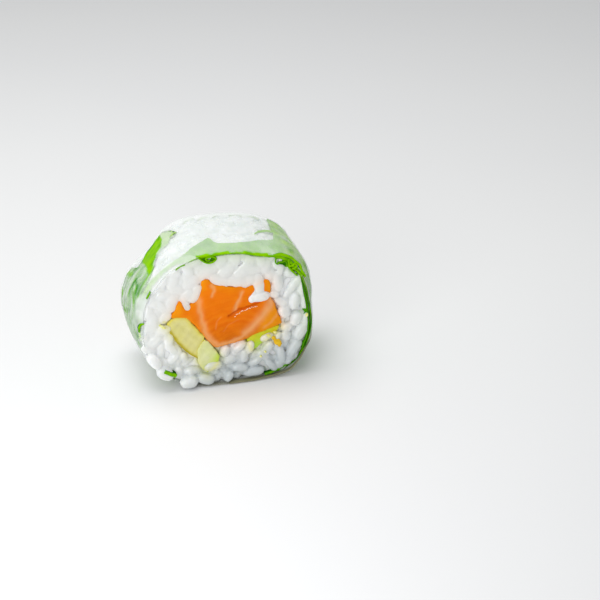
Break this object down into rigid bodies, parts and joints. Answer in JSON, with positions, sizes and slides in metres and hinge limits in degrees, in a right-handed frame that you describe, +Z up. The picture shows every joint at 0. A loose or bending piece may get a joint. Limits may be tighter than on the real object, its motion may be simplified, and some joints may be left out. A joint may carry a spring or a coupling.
{
  "type": "salmon avocado spring roll",
  "caption": "Cut piece of a rice paper roll lying on its side: sushi rice round salmon and avocado, with salad leaves under a thin clear skin.",
  "frame": {"origin": "middle of the flat spot that the roll rests on", "axes": "+Z up; the roll's axis runs along Y, with the shown cut facing -Y; X runs across the cut, with the leaf-covered shoulder at -X"},
  "size_m": [0.0588, 0.032, 0.0451],
  "materials": {
    "rice_paper": "thin translucent damp rice paper, slightly milky",
    "rice": "moist cooked rice, translucent grains",
    "salmon": "raw fish, moist, with paler fat lines",
    "avocado": "ripe flesh, pale yellow to green",
    "leaf": "thin fresh salad leaf, bright green"
  },
  "bodies": {
    "root": {"rice_paper": "rice_paper", "rice": "rice", "salmon": "salmon", "avocado_large": "avocado", "avocado_small": "avocado", "avocado_sliver": "avocado", "leaf_over": "leaf", "leaf_left": "leaf", "leaf_under": "leaf", "leaf_fold": "leaf", "leaf_curl": "leaf"}
  },
  "joints": []
}
